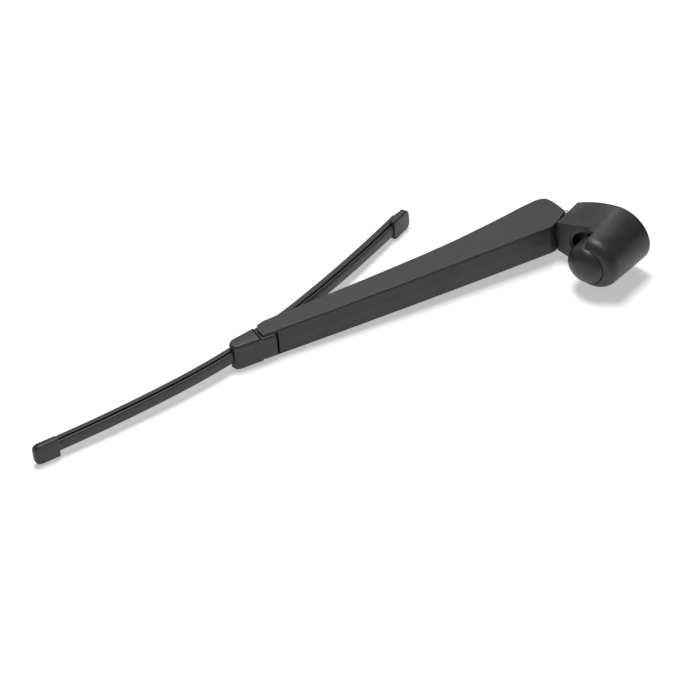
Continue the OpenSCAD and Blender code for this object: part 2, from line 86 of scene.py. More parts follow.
class Graph:
    """A short way to write a material's nodes."""

    def __init__(self, name):
        self.mat = bpy.data.materials.new(name)
        self.mat.use_nodes = True
        self.tree = self.mat.node_tree
        self.tree.nodes.clear()
        self.out = self.add("ShaderNodeOutputMaterial")

    def add(self, kind, **values):
        n = self.tree.nodes.new(kind)
        for key, value in values.items():
            setattr(n, key, value)
        return n

    def join(self, a, b):
        self.tree.links.new(a, b)

    def noise(self, where, scale, detail=3.0, roughness=0.5):
        n = self.add("ShaderNodeTexNoise")
        n.inputs["Scale"].default_value = scale
        n.inputs["Detail"].default_value = detail
        n.inputs["Roughness"].default_value = roughness
        self.join(where, n.inputs["Vector"])
        return n.outputs["Fac"]

    def ramp(self, fac, span, to=(0.0, 1.0)):
        """Maps a span of values to another, and holds them at its ends."""
        n = self.add("ShaderNodeMapRange")
        for key, value in zip(("From Min", "From Max", "To Min", "To Max"), span + to):
            n.inputs[key].default_value = value
        self.join(fac, n.inputs["Value"])
        return n.outputs["Result"]

    def mix(self, fac, a, b):
        n = self.add("ShaderNodeMix", data_type="RGBA")
        for socket, value in ((n.inputs[MIX_A], a), (n.inputs[MIX_B], b)):
            if isinstance(value, tuple):
                socket.default_value = value
            else:
                self.join(value, socket)
        self.join(fac, n.inputs[MIX_FACTOR])
        return n.outputs[MIX_RESULT]

    def maths(self, op, a, b):
        n = self.add("ShaderNodeMath", operation=op)
        for socket, value in ((n.inputs[0], a), (n.inputs[1], b)):
            if isinstance(value, (int, float)):
                socket.default_value = value
            else:
                self.join(value, socket)
        return n.outputs[0]


# Patterns that all finishes share: noise scales, then the spans of noise at which each one shows
BLOTCH_SCALE = 60.0
SPECK_SHARE = 0.45
TONE_SPAN = (0.35, 0.70)
DUST_SPAN = (0.45, 0.75)
SPECK_SPAN = (0.48, 0.72)
GLOSS_SPAN = (0.30, 0.75)
WORN_SPAN = (0.40, 0.60)
WORN_SHARE = (0.2, 1.0)
# How far the gloss strays, how much darker and lighter a colour gets, and an edge's radius and turn
SMOOTHER, ROUGHER = 0.07, 0.10
DARKER, LIGHTER = 0.72, 4.5
EDGE_RADIUS = 0.0005
EDGE_SAMPLES = 6
EDGE_SPAN = (0.97, 0.80)
PALE_DUST = (0.20, 0.19, 0.175, 1)


def tinted(colour, share):
    """A colour with its brightness changed."""
    return tuple(min(1.0, c * share) for c in colour) + (1.0,)


def surface(name, colour, rough, metal=0.0, grain=900.0, grain_depth=0.00006, dust=0.12,
            dust_colour=PALE_DUST, wear=0.0):
    """Plastic, rubber or metal with grain, uneven gloss, dust and rubbed edges."""
    g = Graph(name)
    shader = g.add("ShaderNodeBsdfPrincipled")
    shader.inputs["Metallic"].default_value = metal
    where = g.add("ShaderNodeTexCoord").outputs["Object"]
    fine = g.noise(where, grain, detail=4.0, roughness=0.6)
    broad = g.noise(where, BLOTCH_SCALE, detail=5.0, roughness=0.62)
    specks = g.noise(where, grain * SPECK_SHARE, detail=2.0, roughness=0.7)
    tone = g.mix(g.ramp(broad, TONE_SPAN), tinted(colour, DARKER), tinted(colour, 1.0))
    # dust lies in blotches, broken up by fine specks
    dusty = g.maths("MULTIPLY", g.ramp(broad, DUST_SPAN), g.ramp(specks, SPECK_SPAN))
    tone = g.mix(g.maths("MULTIPLY", dusty, dust), tone, dust_colour)
    soft_edge = g.add("ShaderNodeBevel", samples=EDGE_SAMPLES)
    soft_edge.inputs["Radius"].default_value = EDGE_RADIUS
    if wear:
        # an edge shows where the rounded normal turns away from the plain one
        plain = g.add("ShaderNodeNewGeometry")
        turn = g.add("ShaderNodeVectorMath", operation="DOT_PRODUCT")
        g.join(soft_edge.outputs[0], turn.inputs[0])
        g.join(plain.outputs["Normal"], turn.inputs[1])
        at_edge = g.ramp(turn.outputs["Value"], EDGE_SPAN, (0.0, wear))
        rubbed = g.maths("MULTIPLY", at_edge, g.ramp(specks, WORN_SPAN, WORN_SHARE))
        tone = g.mix(rubbed, tone, tinted(colour, LIGHTER))
    g.join(tone, shader.inputs["Base Color"])
    g.join(g.ramp(broad, GLOSS_SPAN, (rough - SMOOTHER, rough + ROUGHER)), shader.inputs["Roughness"])
    bump = g.add("ShaderNodeBump")
    bump.inputs["Strength"].default_value = 1.0
    bump.inputs["Distance"].default_value = grain_depth
    g.join(fine, bump.inputs["Height"])
    g.join(soft_edge.outputs[0], bump.inputs["Normal"])
    g.join(bump.outputs[0], shader.inputs["Normal"])
    g.join(shader.outputs[0], g.out.inputs["Surface"])
    return g.mat


# Finishes of the material slots

FINISH = {
    "head_plastic": surface("head plastic", (0.032, 0.032, 0.034), 0.42, grain=1300, grain_depth=0.00007,
                            dust=0.10, wear=0.12),
    "arm_plastic": surface("arm plastic", (0.034, 0.034, 0.036), 0.48, grain=1500, grain_depth=0.00008,
                           dust=0.08, wear=0.15),
    "cap_plastic": surface("cap plastic", (0.031, 0.031, 0.033), 0.42, grain=1300, grain_depth=0.00006,
                           dust=0.10, wear=0.12),
    "blade_rubber": surface("blade rubber", (0.036, 0.036, 0.038), 0.50, grain=1800, grain_depth=0.00008,
                            dust=0.15),
    "spoiler_rubber": surface("spoiler rubber", (0.040, 0.040, 0.042), 0.40, grain=1600,
                              grain_depth=0.00005, dust=0.15),
    "inner_plastic": surface("inner plastic", (0.026, 0.026, 0.028), 0.52, dust=0.25),
    "bush_plastic": surface("bush plastic", (0.60, 0.57, 0.50), 0.45, dust=0.3,
                            dust_colour=(0.25, 0.22, 0.18, 1)),
    "bare_steel": surface("bare steel", (0.50, 0.50, 0.51), 0.34, metal=1.0, grain=700,
                          grain_depth=0.00003, dust=0.4, dust_colour=(0.12, 0.10, 0.08, 1)),
    "spring_steel": surface("spring steel", (0.26, 0.26, 0.27), 0.38, metal=1.0, grain=800,
                            grain_depth=0.00004, dust=0.4, dust_colour=(0.10, 0.08, 0.06, 1)),
    "hub_metal": surface("hub metal", (0.58, 0.58, 0.59), 0.42, metal=1.0, grain=500,
                         grain_depth=0.00005, dust=0.4, dust_colour=(0.15, 0.13, 0.11, 1)),
}

SLOT_OF = {p["node"]: p["material_slot"] for p in frame["record"]["subparts"]}
for name, obj in nodes.items():
    finish = FINISH[SLOT_OF[name]]
    for s in obj.material_slots:
        s.material = finish
    if not obj.material_slots:
        obj.data.materials.append(finish)


# Modelled pieces, drawn in millimetres in the wiper's own frame: x towards the parked arm, y outward, z up

LIFT = math.radians(64)
PIN = (45.0, 15.0)
PIVOT = (229.0, 1.5)
MM = 1000
# An overlap that keeps two faces apart, and distances past the end and the sides of any piece
LAP = 0.01
PAST = 60
ACROSS = 20
ROUND_STEPS = 96
MERGE = 1e-7


def turned(p, angle, shift):
    """A point turned round z and moved in x and y."""
    c, s = math.cos(angle), math.sin(angle)
    return (p[0] * c - p[1] * s + shift[0], p[0] * s + p[1] * c + shift[1], p[2])


def from_head(p):
    """The frame's point, in metres, of a point measured from the spindle's foot."""
    return (-p[0] / MM, -p[1] / MM, p[2] / MM)


def from_arm(p):
    """The same for a point measured along the lifted arm from the hinge pin."""
    return from_head(turned(p, LIFT, PIN))


def from_pivot(p):
    """The same for a point measured along the arm from the blade's pivot pin."""
    return from_arm((p[0] + PIVOT[0], p[1] + PIVOT[1], p[2]))


def solid(name, points, faces, place):
    """A mesh object from points in millimetres, with its faces turned outward."""
    mesh = bpy.data.meshes.new(name)
    mesh.from_pydata([place(p) for p in points], [], faces)
    bm = bmesh.new()
    bm.from_mesh(mesh)
    bmesh.ops.recalc_face_normals(bm, faces=bm.faces)
    bm.to_mesh(mesh)
    bm.free()
    return link(bpy.data.objects.new(name, mesh))


def loft(name, rings, place):
    """A closed solid through rings of equal length."""
    n = len(rings[0])
    points = [p for ring in rings for p in ring]
    faces = [(i * n + j, i * n + (j + 1) % n, (i + 1) * n + (j + 1) % n, (i + 1) * n + j)
             for i in range(len(rings) - 1) for j in range(n)]
    faces += [tuple(range(n)), tuple((len(rings) - 1) * n + j for j in range(n))]
    return solid(name, points, faces, place)


def upright(name, outline, y0, y1, place=from_head):
    """A prism along the spindle's direction, from an outline in x and z."""
    return loft(name, [[(x, y, z) for x, z in outline] for y in (y0, y1)], place)


def band(name, outline, z0, z1, place=from_head):
    """A prism along z, from an outline in x and y."""
    return loft(name, [[(x, y, z) for x, y in outline] for z in (z0, z1)], place)


def box(x0, x1, y0, y1):
    """A rectangle's outline."""
    return [(x0, y0), (x1, y0), (x1, y1), (x0, y1)]


def circle(r, n=72, cx=0.0, cy=0.0):
    """A circle's outline with n corners."""
    return [(cx + r * math.cos(math.tau * i / n), cy + r * math.sin(math.tau * i / n)) for i in range(n)]


def arc(cx, cy, rx, ry, start, end, step):
    """Points of an ellipse's arc at whole degrees."""
    angles = [math.radians(a) for a in range(start, end, step)]
    return [(cx + rx * math.cos(a), cy + ry * math.sin(a)) for a in angles]


def turned_round(name, section, place=from_head):
    """A solid of revolution round the spindle axis, from a closed section in radius and height."""
    n, k = ROUND_STEPS, len(section)
    points = [(r * math.cos(math.tau * i / n), y, r * math.sin(math.tau * i / n))
              for i in range(n) for r, y in section]
    faces = [(i * k + j, i * k + (j + 1) % k, (i + 1) % n * k + (j + 1) % k, (i + 1) % n * k + j)
             for i in range(n) for j in range(k)]
    obj = solid(name, points, faces, place)
    bm = bmesh.new()
    bm.from_mesh(obj.data)
    bmesh.ops.remove_doubles(bm, verts=bm.verts, dist=MERGE)
    bmesh.ops.dissolve_degenerate(bm, edges=bm.edges, dist=MERGE)
    bmesh.ops.recalc_face_normals(bm, faces=bm.faces)
    bm.to_mesh(obj.data)
    bm.free()
    return obj


def settle(obj):
    """Puts what the modifiers make into the object's own mesh."""
    bpy.context.view_layer.update()
    graph = bpy.context.evaluated_depsgraph_get()
    mesh = bpy.data.meshes.new_from_object(obj.evaluated_get(graph))
    obj.modifiers.clear()
    obj.data = mesh


def combine(obj, operation, *tools):
    """Adds solids to a piece or cuts them out of it, and removes the tools."""
    for tool in tools:
        m = obj.modifiers.new("combine", "BOOLEAN")
        m.operation = operation
        m.solver = "EXACT"
        m.object = tool
        settle(obj)
        bpy.data.objects.remove(tool)
    return obj


def dress(obj, slot, body, *replaced, crease=32):
    """Gives a piece its finish, smooth shading between creases, its body and the solids it stands for."""
    obj.data.materials.clear()
    obj.data.materials.append(FINISH[slot])
    for face in obj.data.polygons:
        face.use_smooth = True
        face.material_index = 0
    obj.data.set_sharp_from_angle(angle=math.radians(crease))
    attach(obj, body)
    if replaced:
        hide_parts(*replaced)


# Head: a barrel with a tall shoulder, whose sides run smoothly into a tapering neck

RIM_R = 23.2
SHOULDER_R = 20.7
SHOULDER_H = 43.4
SHOULDER_ROUND = 8.4
DECK_H = 26.7
NECK_END = 37.0
NECK_HALF = 12.3
WALL = 2.6
# The sides leave the circle this much past their tangent point at the rim, and bend this far along
SIDE_TURN = math.radians(12)
BEND_SHARE = 0.48
BARREL_STEPS, SIDE_STEPS, FORM_STEPS = 28, 12, 10
# The shoulder's cut towards the arm, and the slope from it down to the deck
SHOULDER_CUT = 3.0
SLOPE_RISE = 4.5
SLOPE_END = 14
SLOPE_HALF = 30

# Nut cap and the collar that it snaps on
CAP_R = 14.8
CAP_WALL = 1.2
CAP_FOOT = 24.0
DOME_START = 41.0
DOME = 9.8
CAP_SHIFT = 2.4
CAP_GAP = 0.1
COLLAR_R = CAP_R - CAP_WALL - 0.15
COLLAR_WALL = 1.4
COLLAR_TOP = 38

# Room for the metal hub, a hexagon 16 mm across its flats
HUB_TOP = 20.0
HUB_HEX_R = 16.0 / 2 / math.cos(math.radians(30))
HUB_GAP = 0.02

# Finger notch beside the cap, with a low step round its edge
NOTCH_REACH = 25.0
NOTCH_HALF = 15.8
NOTCH_FLOOR = 17.0
NOTCH_WALL = 1.8
NOTCH_STEP = 1.5
STEP_DEEP = 0.9
# The notch's walls stay this far under the deck and inside the head's sides
WALLS_UNDER = 0.3
WALLS_INSIDE = 0.4

# Ribs under the deck: five round the hub and two along the neck
RIB_HALF = 0.9
RIB_FOOT = 4
RIB_IN, RIB_OUT = 8, 21.4
RIB_UNDER = 1.3
NECK_RIB_AT = 6
NECK_RIB_UNDER = 11
RIB_SINK = 1

# Two lugs that hold the hinge pin, and the skin between them
LUG_IN, LUG_OUT = 4.6, 8.65
LUG_FLOOR = 8.5
LUG_GAP = 0.5
KNUCKLE_R = 11.2
SKIN = 2
SKIN_ACROSS = 9
PIN_HOLE_R = 4.22
SPRING_PIN_HOLE_R = 1.62
SPRING_PIN = (PIN[0] - 4.5, PIN[1] - 6.5)


def barrel_r(y):
    """The barrel's radius at a height."""
    return RIM_R + (SHOULDER_R - RIM_R) * y / (SHOULDER_H - SHOULDER_ROUND)


def head_ring(y, inset=0.0):
    """The head's outline at a height: the barrel's circle running into the neck's sides."""
    level = min(max(y, 0.0), DECK_H)
    r = barrel_r(level) - inset
    corner = (NECK_END - inset, NECK_HALF - inset)
    reach = math.hypot(*corner)
    leave = math.atan2(corner[1], corner[0]) + math.acos(r / reach) + SIDE_TURN * (1 - level / DECK_H)
    start = (r * math.cos(leave), r * math.sin(leave))
    run = BEND_SHARE * math.hypot(corner[0] - start[0], corner[1] - start[1])
    bend = (start[0] + run * math.sin(leave), start[1] - run * math.cos(leave))
    angles = [math.pi + (leave - math.pi) * i / BARREL_STEPS for i in range(BARREL_STEPS)]
    half = [(r * math.cos(a), r * math.sin(a)) for a in angles]
    for i in range(SIDE_STEPS + 1):
        u = i / SIDE_STEPS
        half.append(tuple((1 - u) ** 2 * start[k] + 2 * u * (1 - u) * bend[k] + u * u * corner[k]
                          for k in (0, 1)))
    return [(x, y, z) for x, z in half] + [(x, y, -z) for x, z in reversed(half[1:])]


def head_form(name, inset, y0, y1):
    """The head's form between two heights, moved inward by a distance."""
    rings = [head_ring(y0 + (y1 - y0) * i / FORM_STEPS, inset) for i in range(FORM_STEPS + 1)]
    return loft(name, rings, from_head)


def notch(grow, start=SHOULDER_CUT):
    """The notch's outline, widened by a distance: half an ellipse from its straight end at start."""
    half = arc(0, 0, NOTCH_REACH + grow, NOTCH_HALF + grow, -90, 91, 5)
    return [(max(start, x), z) for x, z in half]


def ring_tool(outer, y0):
    """Cuts outside the collar that stands under the cap."""
    tool = upright("tool", outer, y0, PAST)
    return combine(tool, "DIFFERENCE", upright("core", circle(COLLAR_R, cx=CAP_SHIFT), y0 - 1, PAST + 1))


def head_walls():
    """The hollow head with its shoulder, its notch's walls and the boss under the cap."""
    middle = SHOULDER_R - SHOULDER_ROUND, SHOULDER_H - SHOULDER_ROUND
    shoulder = arc(*middle, SHOULDER_ROUND, SHOULDER_ROUND, 0, 91, 6)
    head = head_form("head_shell", 0.0, 0.0, DECK_H)
    side = [(0, 1), (barrel_r(1) - LAP, 1)] + shoulder + [(0, SHOULDER_H)]
    combine(head, "UNION", turned_round("barrel", side))
    combine(head, "DIFFERENCE", head_form("hollow", WALL, -1.0, DECK_H - WALL))
    # the tall shoulder stands only on the side away from the arm and slopes down to the deck
    slope = [(SHOULDER_CUT, PAST), (SHOULDER_CUT, DECK_H + SLOPE_RISE), (SLOPE_END, DECK_H + LAP),
             (PAST, DECK_H + LAP), (PAST, PAST)]
    combine(head, "DIFFERENCE", band("slope", slope, -SLOPE_HALF, SLOPE_HALF))
    walls = upright("notch walls", notch(NOTCH_WALL, SHOULDER_CUT - NOTCH_WALL),
                    NOTCH_FLOOR - NOTCH_WALL, DECK_H - WALLS_UNDER)
    combine(walls, "INTERSECT", head_form("clip", WALLS_INSIDE, 0.0, DECK_H + 1))
    boss = upright("boss", circle(COLLAR_R, cx=CAP_SHIFT), LAP, COLLAR_TOP)
    return combine(head, "UNION", walls, boss)


def add_ribs(head):
    """Ribs that run out from the hub, and two that run from the collar into the neck."""
    for a in range(60, 301, 60):
        c, s = math.cos(math.radians(a)), math.sin(math.radians(a))
        corners = ((RIB_IN, 1), (RIB_OUT, 1), (RIB_OUT, -1), (RIB_IN, -1))
        rib = [(r * c + side * RIB_HALF * s, r * s - side * RIB_HALF * c) for r, side in corners]
        combine(head, "UNION", upright("rib", rib, RIB_FOOT, DECK_H - RIB_UNDER))
    for side in (-1, 1):
        rib = box(COLLAR_R - RIB_SINK, NECK_END - RIB_SINK,
                  side * NECK_RIB_AT - RIB_HALF, side * NECK_RIB_AT + RIB_HALF)
        combine(head, "UNION", upright("rib", rib, RIB_FOOT, DECK_H - NECK_RIB_UNDER))


def cut_room(head):
    """Cuts the notch, its step, the cap's seat and the room inside the collar."""
    cap_seat = circle(CAP_R + CAP_GAP, cx=CAP_SHIFT)
    combine(head, "DIFFERENCE", ring_tool(notch(0), NOTCH_FLOOR))
    combine(head, "DIFFERENCE", ring_tool(notch(NOTCH_STEP), DECK_H - STEP_DEEP))
    combine(head, "DIFFERENCE", ring_tool(cap_seat, CAP_FOOT - 1))
    combine(head, "DIFFERENCE",
            upright("bore", circle(COLLAR_R - COLLAR_WALL, cx=CAP_SHIFT), HUB_TOP, PAST),
            upright("top room", cap_seat, DOME_START - 0.3, PAST),
            upright("hexagon", circle(HUB_HEX_R + HUB_GAP, 6), -1, HUB_TOP + 1))


def add_lugs(head):
    """The hinge's two lugs on their webs, the skin that closes the gap over them, and the pins' bores."""
    knuckle = circle(KNUCKLE_R, 72, *PIN)
    web = [(NECK_END - 1, 0.6), (PIN[0] - 1, 2.6), (PIN[0] + 3, PIN[1] - 8), (PIN[0] + 3, PIN[1] + 8),
           (PIN[0] - 2, PIN[1] + KNUCKLE_R - 1), (NECK_END - 1, PIN[1] + KNUCKLE_R - 1)]
    trim = box(NECK_END + LUG_GAP, 70, -5, LUG_FLOOR)
    for z0, z1 in ((LUG_IN, LUG_OUT), (-LUG_OUT, -LUG_IN)):
        lug = band("lug", knuckle, z0, z1)
        combine(lug, "UNION", band("web", web, z0 + LAP, z1 - LAP))
        combine(lug, "DIFFERENCE", band("trim", trim, z0 - 1, z1 + 1))
        combine(head, "UNION", lug)
    skin = band("skin", circle(KNUCKLE_R - 2 * LAP, 72, *PIN), -LUG_IN - 2 * LAP, LUG_IN + 2 * LAP)
    combine(skin, "DIFFERENCE", band("core", circle(KNUCKLE_R - SKIN, 72, *PIN), -SKIN_ACROSS, SKIN_ACROSS))
    keep = [PIN, (PIN[0] + 3.4, PIN[1] + 20), (PIN[0] - 20, PIN[1] + 20), (PIN[0] - 20, PIN[1] + 15)]
    combine(skin, "INTERSECT", band("keep", keep, -SKIN_ACROSS, SKIN_ACROSS))
    combine(head, "UNION", skin)
    combine(head, "DIFFERENCE", band("pin bore", circle(PIN_HOLE_R, 48, *PIN), -ACROSS, ACROSS),
            band("spring pin bore", circle(SPRING_PIN_HOLE_R, 32, *SPRING_PIN), -ACROSS, ACROSS))


def make_head():
    head = head_walls()
    add_ribs(head)
    cut_room(head)
    add_lugs(head)
    dress(head, "head_plastic", "head", "drive_head")


def make_cap():
    """The nut cap: a thin wall with a domed end, open towards the rim."""
    inner_r = CAP_R - CAP_WALL
    outside = arc(0, DOME_START, CAP_R, DOME, 0, 91, 5)
    inside = arc(0, DOME_START, inner_r, DOME - CAP_WALL, 90, -1, -5)
    cap = turned_round("cap_shell", [(CAP_R, CAP_FOOT)] + outside + inside + [(inner_r, CAP_FOOT)],
                       lambda q: from_head((q[0] + CAP_SHIFT, q[1], q[2])))
    dress(cap, "cap_plastic", "cap", "nut_cap")


# Blade, in its own frame: x along the back at the middle, y outward, z across

BLADE_X, BLADE_Y = 18.0, 0.86
SWING = math.radians(14.59)
# The back's radius up to MID_HALF from the middle, and beyond it
MID_CURVE, END_CURVE = 494.0, 1074.0
MID_HALF = 60.0
NEAR_END, FAR_END = 170.7, -176.0
# Half the blade's width, and the lip's depth under the back
HALF, LIP = 4.3, 10.4
# Where the spoilers end at the adapter, and how far the blade stops short of the end caps' ends
SPOILER_NEAR, SPOILER_FAR = 5.6, -26.6
BLADE_SHORT, STRIP_SHORT = 4, 5
SWEEP_STEP = 5.0
STRIP_STEPS = 60


def from_blade(p):
    """The frame's point of a point measured in the blade's own frame."""
    return from_pivot(turned(p, SWING, (BLADE_X, BLADE_Y)))


def back_at(t):
    """The back's point and its turn at a distance from the middle."""
    u, side = abs(t), math.copysign(1, t)
    mid = MID_HALF / MID_CURVE
    if u < MID_HALF:
        turn = u / MID_CURVE
        return side * MID_CURVE * math.sin(turn), -MID_CURVE * (1 - math.cos(turn)), side * turn
    turn = mid + (u - MID_HALF) / END_CURVE
    x = MID_CURVE * math.sin(mid) + END_CURVE * (math.sin(turn) - math.sin(mid))
    y = -MID_CURVE * (1 - math.cos(mid)) - END_CURVE * (math.cos(mid) - math.cos(turn))
    return side * x, y, side * turn


def at_back(t, out, across, along=0.0):
    """A point measured outward, across and along from the back at a distance from the middle."""
    x, y, turn = back_at(t)
    c, s = math.cos(turn), math.sin(turn)
    return (x + out * s + along * c, y + out * c - along * s, across)


def sweep(name, half_section, t0, t1):
    """A section, given as one half of (outward, across) points, carried along the back."""
    section = half_section + [(out, -across) for out, across in reversed(half_section)]
    count = max(1, round((t1 - t0) / SWEEP_STEP))
    rings = [[at_back(t0 + (t1 - t0) * i / count, *q) for q in section] for i in range(count + 1)]
    return loft(name, rings, from_blade)


def make_blade():
    """The two spoilers, the wiper rubber and the steel strips at its sides."""
    # the spoiler has a low crown with two fine grooves and thin lips over the strips' edges
    spoiler = [(0.05, 0.25), (0.05, 1.9), (-0.12, 2.05), (0.0, 2.2), (-0.05, 3.5), (-0.3, 4.05),
               (-0.65, HALF), (-1.3, HALF), (-1.3, 0.5)]
    # the rubber has a wide body with a fine groove, a thin neck, two shoulders and a tapering lip
    rubber = [(-1.35, 2.3), (-3.1, 2.3), (-3.1, 3.95), (-3.3, HALF), (-4.5, HALF), (-4.6, HALF - 0.12),
              (-4.7, HALF), (-6.35, HALF), (-6.65, HALF - 0.3), (-6.65, 0.8), (-7.3, 0.8), (-7.3, 2.6),
              (-7.8, 2.6), (1.5 - LIP, 0.65), (1.2 - LIP, 0.4), (-LIP, 0.4)]
    strip = [(-1.4, 1.1), (-1.4, 3.55), (-2.2, 3.55), (-2.2, 1.1)]
    near, far = NEAR_END - BLADE_SHORT, FAR_END + BLADE_SHORT
    dress(sweep("spoiler_front", spoiler, SPOILER_NEAR, near), "spoiler_rubber", "blade", "spoiler_near",
          crease=40)
    dress(sweep("spoiler_back", spoiler, far, SPOILER_FAR), "spoiler_rubber", "blade", "spoiler_far",
          crease=40)
    dress(sweep("rubber_blade", rubber, far, near), "blade_rubber", "blade", "wiper_rubber", crease=40)
    length = NEAR_END - FAR_END - 2 * STRIP_SHORT
    for name, side, node in (("strip_up", 1, "steel_strip_upper"), ("strip_down", -1, "steel_strip_lower")):
        rings = [[at_back(FAR_END + STRIP_SHORT + length * i / STRIP_STEPS, out, side * across)
                  for out, across in strip] for i in range(STRIP_STEPS + 1)]
        dress(loft(name, rings, from_blade), "inner_plastic", "blade", node)


# End caps: rounded boxes that the blade's ends stand in

END_LONG, END_HALF = 18.6, 7.8
# Each level's height over the back, its inset from the outline and its corners' radius
END_LEVELS = ((-3.6, 0.5, 4.0), (-3.3, 0.15, 4.2), (-2.8, 0.0, 4.3), (0.3, 0.0, 4.3), (0.9, 0.15, 4.2),
              (1.2, 0.5, 4.0), (1.3, 1.0, 3.8))
END_BEVEL = 0.8
# The wall at the free end, the gap beside the blade and the pocket's lower and upper level
END_WALL = 3.5
BLADE_GAP = 0.3
POCKET = (-9.0, 0.35)


def cap_ring(out, length, half, corner, t, side):
    """An end cap's outline at a level: square towards the blade, round at the free end."""
    end = length / 2
    points = [(-end, -half + END_BEVEL), (-end + END_BEVEL, -half)]
    points += arc(end - corner, -half + corner, corner, corner, -90, 1, 10)
    points += arc(end - corner, half - corner, corner, corner, 0, 91, 10)
    points += [(-end + END_BEVEL, half), (-end, half - END_BEVEL)]
    return [at_back(t, out, across, side * along) for along, across in points]


def make_end_cap(name, t_end, side, node):
    """An end cap that the blade's end stands in."""
    t = t_end - side * END_LONG / 2
    cap = loft(name, [cap_ring(out, END_LONG - 2 * inset, END_HALF - inset, corner, t, side)
                      for out, inset, corner in END_LEVELS], from_blade)
    outline = box(-END_LONG, END_LONG / 2 - END_WALL, -HALF - BLADE_GAP, HALF + BLADE_GAP)
    pocket = [[at_back(t, out, across, side * along) for along, across in outline] for out in POCKET]
    combine(cap, "DIFFERENCE", loft("pocket", pocket, from_blade))
    dress(cap, "cap_plastic", "blade", node, crease=38)


# Adapter cover: a tapering hood between the arm's ears and the blade

NOSE = 29.5
EAR_END = 8.4
ADAPTER_HALF, ADAPTER_EDGE = 9.2, 1.7
HOOD_ROUND, FRONT_ROUND = 1.2, 1.0
# How far the front stands out past the hood's sides, and the room and the slot inside
FRONT_PROUD = 1.2
ROOM_HALF = 6.2
SLOT_LONG, SLOT_DEEP, SLOT_TOP = 60, 30, 0.4
PIVOT_HOLE_R = 2.55
# The barrel round the pivot pin, with the tongue that runs back from it towards the arm
BARREL_R, BARREL_HALF, BARREL_ROOM = 5.3, 8.8, 5.6
TONGUE_HALF = 8.7
# The share of a side that a corner's curve may take, and the curve's steps
CORNER_SHARE = 0.4
CORNER_STEPS = 5


def inset_outline(points, d):
    """A convex outline moved inward by a distance."""
    area = sum(p[0] * q[1] - q[0] * p[1] for p, q in zip(points, points[1:] + points[:1]))
    sign = 1 if area > 0 else -1
    out = []
    for i, p in enumerate(points):
        a, b = points[i - 1], points[(i + 1) % len(points)]
        e1 = Vector((p[0] - a[0], p[1] - a[1])).normalized()
        e2 = Vector((b[0] - p[0], b[1] - p[1])).normalized()
        n1, n2 = Vector((-e1.y, e1.x)) * sign, Vector((-e2.y, e2.x)) * sign
        m = (n1 + n2).normalized()
        out.append((p[0] + m.x * d / m.dot(n1), p[1] + m.y * d / m.dot(n1)))
    return out


def rounded(points, r):
    """A convex outline with each corner replaced by a short curve."""
    out = []
    for i, p in enumerate(points):
        a, b = Vector(points[i - 1]), Vector(points[(i + 1) % len(points)])
        v = Vector(p)
        ra = min(r, (a - v).length * CORNER_SHARE)
        rb = min(r, (b - v).length * CORNER_SHARE)
        s, e = v + (a - v).normalized() * ra, v + (b - v).normalized() * rb
        for k in range(CORNER_STEPS + 1):
            u = k / CORNER_STEPS
            q = s * (1 - u) ** 2 + v * 2 * u * (1 - u) + e * u * u
            out.append((q.x, q.y))
    return out


def soft_slab(name, profile, half, edge):
    """A slab across the blade with rounded long edges, from a convex profile."""
    lower = [(-half + edge * (1 - math.sin(math.radians(a))), edge * (1 - math.cos(math.radians(a))))
             for a in range(90, -1, -15)]
    levels = lower + [(-z, d) for z, d in reversed(lower)]
    rings = [[(x, y, z) for x, y in inset_outline(profile, d + LAP)] for z, d in levels]
    return loft(name, rings, from_pivot)


def make_adapter_cover():
    """The hood with its wider front, hollow over the bracket and slotted for the blade."""
    nose = [(NOSE - 2.6, -3.9), (NOSE + 0.2, -1.6), (NOSE + 1.2, 1.4), (NOSE - 0.6, 5.2), (NOSE - 3.4, 6.3)]
    hood = [(-9, -11.2), (6, -7.6)] + nose + [(-2.2, 7.4)]
    front = [(EAR_END, -6.9)] + nose + [(EAR_END, 6.98)]
    cover = soft_slab("adapter_shell", rounded(hood, HOOD_ROUND), ADAPTER_HALF, ADAPTER_EDGE)
    combine(cover, "UNION",
            soft_slab("front", rounded(front, FRONT_ROUND), ADAPTER_HALF + FRONT_PROUD, ADAPTER_EDGE))
    room = [(-30, -24), (NOSE - 6, -16), (NOSE - 6, 3.6), (8, 5.1), (-0.8, 5.7), (-2, 4.6), (-30, 4.6)]
    c, s = math.cos(SWING), math.sin(SWING)
    slot = [(BLADE_X + x * c - y * s, BLADE_Y + x * s + y * c)
            for x, y in box(0, SLOT_LONG, -SLOT_DEEP, SLOT_TOP)]
    combine(cover, "DIFFERENCE", band("room", room, -ROOM_HALF, ROOM_HALF, from_pivot),
            band("slot", slot, -HALF - BLADE_GAP, HALF + BLADE_GAP, from_pivot),
            band("pin bore", circle(PIVOT_HOLE_R, 32), -ACROSS, ACROSS, from_pivot))
    dress(cover, "head_plastic", "blade", "adapter_cover", crease=30)


def make_pivot_barrel():
    """The barrel and its tongue, open in the middle for the bracket."""
    barrel = band("barrel", circle(BARREL_R, 48), -BARREL_HALF, BARREL_HALF, from_pivot)
    tongue = [(-1, 3.2), (-3.4, 3.0), (-6, 1.7), (-9, 0.2), (-12, -1.6), (-12.6, -8), (-9, -10.6), (0, -5)]
    combine(barrel, "UNION", band("tongue", tongue, -TONGUE_HALF, TONGUE_HALF, from_pivot))
    combine(barrel, "DIFFERENCE", band("core", circle(PIVOT_HOLE_R, 32), -ACROSS, ACROSS, from_pivot),
            band("room", box(-10, 10, -20, 20), -BARREL_ROOM, BARREL_ROOM, from_pivot))
    dress(barrel, "inner_plastic", "blade")


make_head()
make_cap()
make_blade()
make_end_cap("end_cap_front", NEAR_END, 1, "end_cap_near")
make_end_cap("end_cap_back", FAR_END, -1, "end_cap_far")
make_adapter_cover()
make_pivot_barrel()


# Camera, fitted to the photograph

